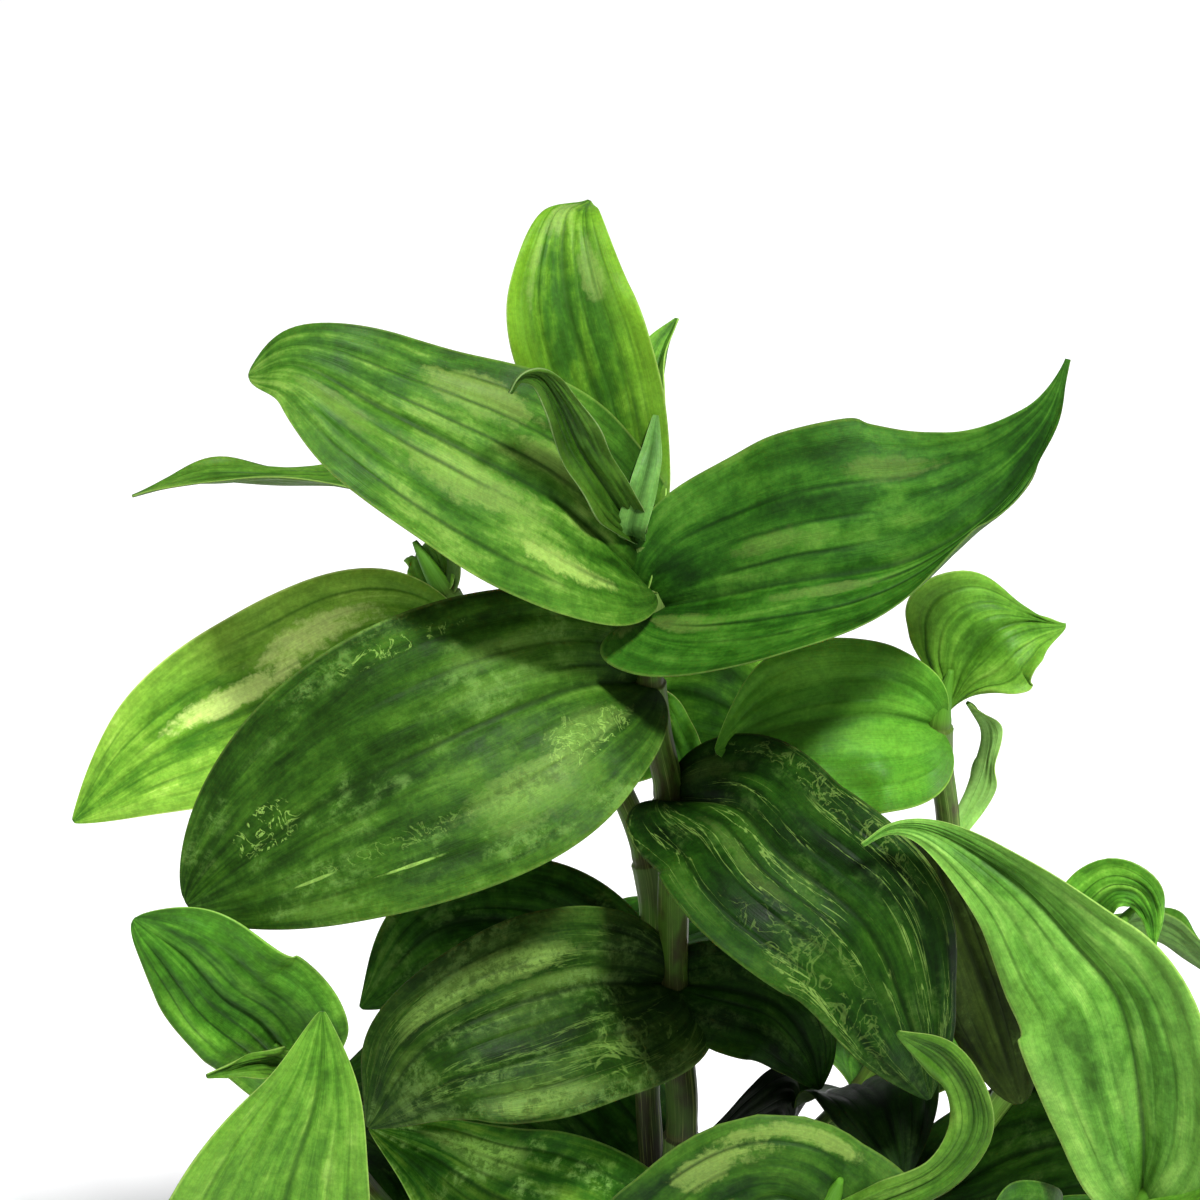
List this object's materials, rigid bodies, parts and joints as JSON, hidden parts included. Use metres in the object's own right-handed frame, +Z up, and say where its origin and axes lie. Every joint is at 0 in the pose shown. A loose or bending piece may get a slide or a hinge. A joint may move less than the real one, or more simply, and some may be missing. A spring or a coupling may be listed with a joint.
{
  "type": "potted leafy foliage plant",
  "caption": "Leafy upright houseplant with broad pointed clasping leaves on jointed stems, rooted in soil in a plain tapered clay pot.",
  "frame": {"origin": "centre of the pot's flat underside", "axes": "+Z up along the pot's axis, -Y towards the side seen in the picture, +X to its right"},
  "size_m": [0.2358, 0.1973, 0.3501],
  "materials": {
    "pot": "matte",
    "soil": "matte",
    "stem": "satin",
    "leaf_young": "satin",
    "leaf_mature": "satin",
    "leaf_old": "satin"
  },
  "bodies": {
    "root": {"pot": "pot", "soil": "soil", "stem_back": "stem", "stem_back_left": "stem", "stem_back_right": "stem", "stem_front": "stem", "stem_front_left": "stem", "stem_front_right": "stem", "stem_left": "stem", "stem_main": "stem", "stem_right": "stem", "leaf_back_foot": "leaf_old", "leaf_back_left_low": "leaf_old", "leaf_back_right_bent": "leaf_mature", "leaf_back_right_broad": "leaf_mature", "leaf_back_right_furled": "leaf_mature", "leaf_back_right_low": "leaf_old", "leaf_back_right_side": "leaf_old", "leaf_back_small": "leaf_young", "leaf_back_top": "leaf_mature", "leaf_behind_stem": "leaf_mature", "leaf_far_left_broad": "leaf_young", "leaf_far_left_narrow": "leaf_young", "leaf_front_broad": "leaf_mature", "leaf_front_left_foot": "leaf_old", "leaf_front_left_low": "leaf_mature", "leaf_front_left_tall": "leaf_young", "leaf_front_low": "leaf_old", "leaf_front_right_long": "leaf_young", "leaf_front_right_low": "leaf_old", "leaf_front_right_new": "leaf_young", "leaf_front_right_side": "leaf_old", "leaf_front_twisted": "leaf_young", "leaf_left_bud": "leaf_young", "leaf_left_foot": "leaf_old", "leaf_left_low": "leaf_mature", "leaf_left_round": "leaf_mature", "leaf_left_shaded": "leaf_old", "leaf_low_left": "leaf_old", "leaf_lower_left": "leaf_old", "leaf_middle_left": "leaf_old", "leaf_middle_right": "leaf_old", "leaf_right_arched": "leaf_young", "leaf_right_back": "leaf_mature", "leaf_right_crinkled": "leaf_young", "leaf_right_foot": "leaf_old", "leaf_right_inward": "leaf_mature", "leaf_right_low": "leaf_old", "leaf_right_olive": "leaf_old", "leaf_shaded": "leaf_old", "leaf_stem_small": "leaf_mature", "leaf_top": "leaf_young", "leaf_top_back": "leaf_young", "leaf_top_flap": "leaf_young", "leaf_top_furled": "leaf_young", "leaf_upper_left": "leaf_mature", "leaf_upper_right": "leaf_mature"}
  },
  "joints": []
}
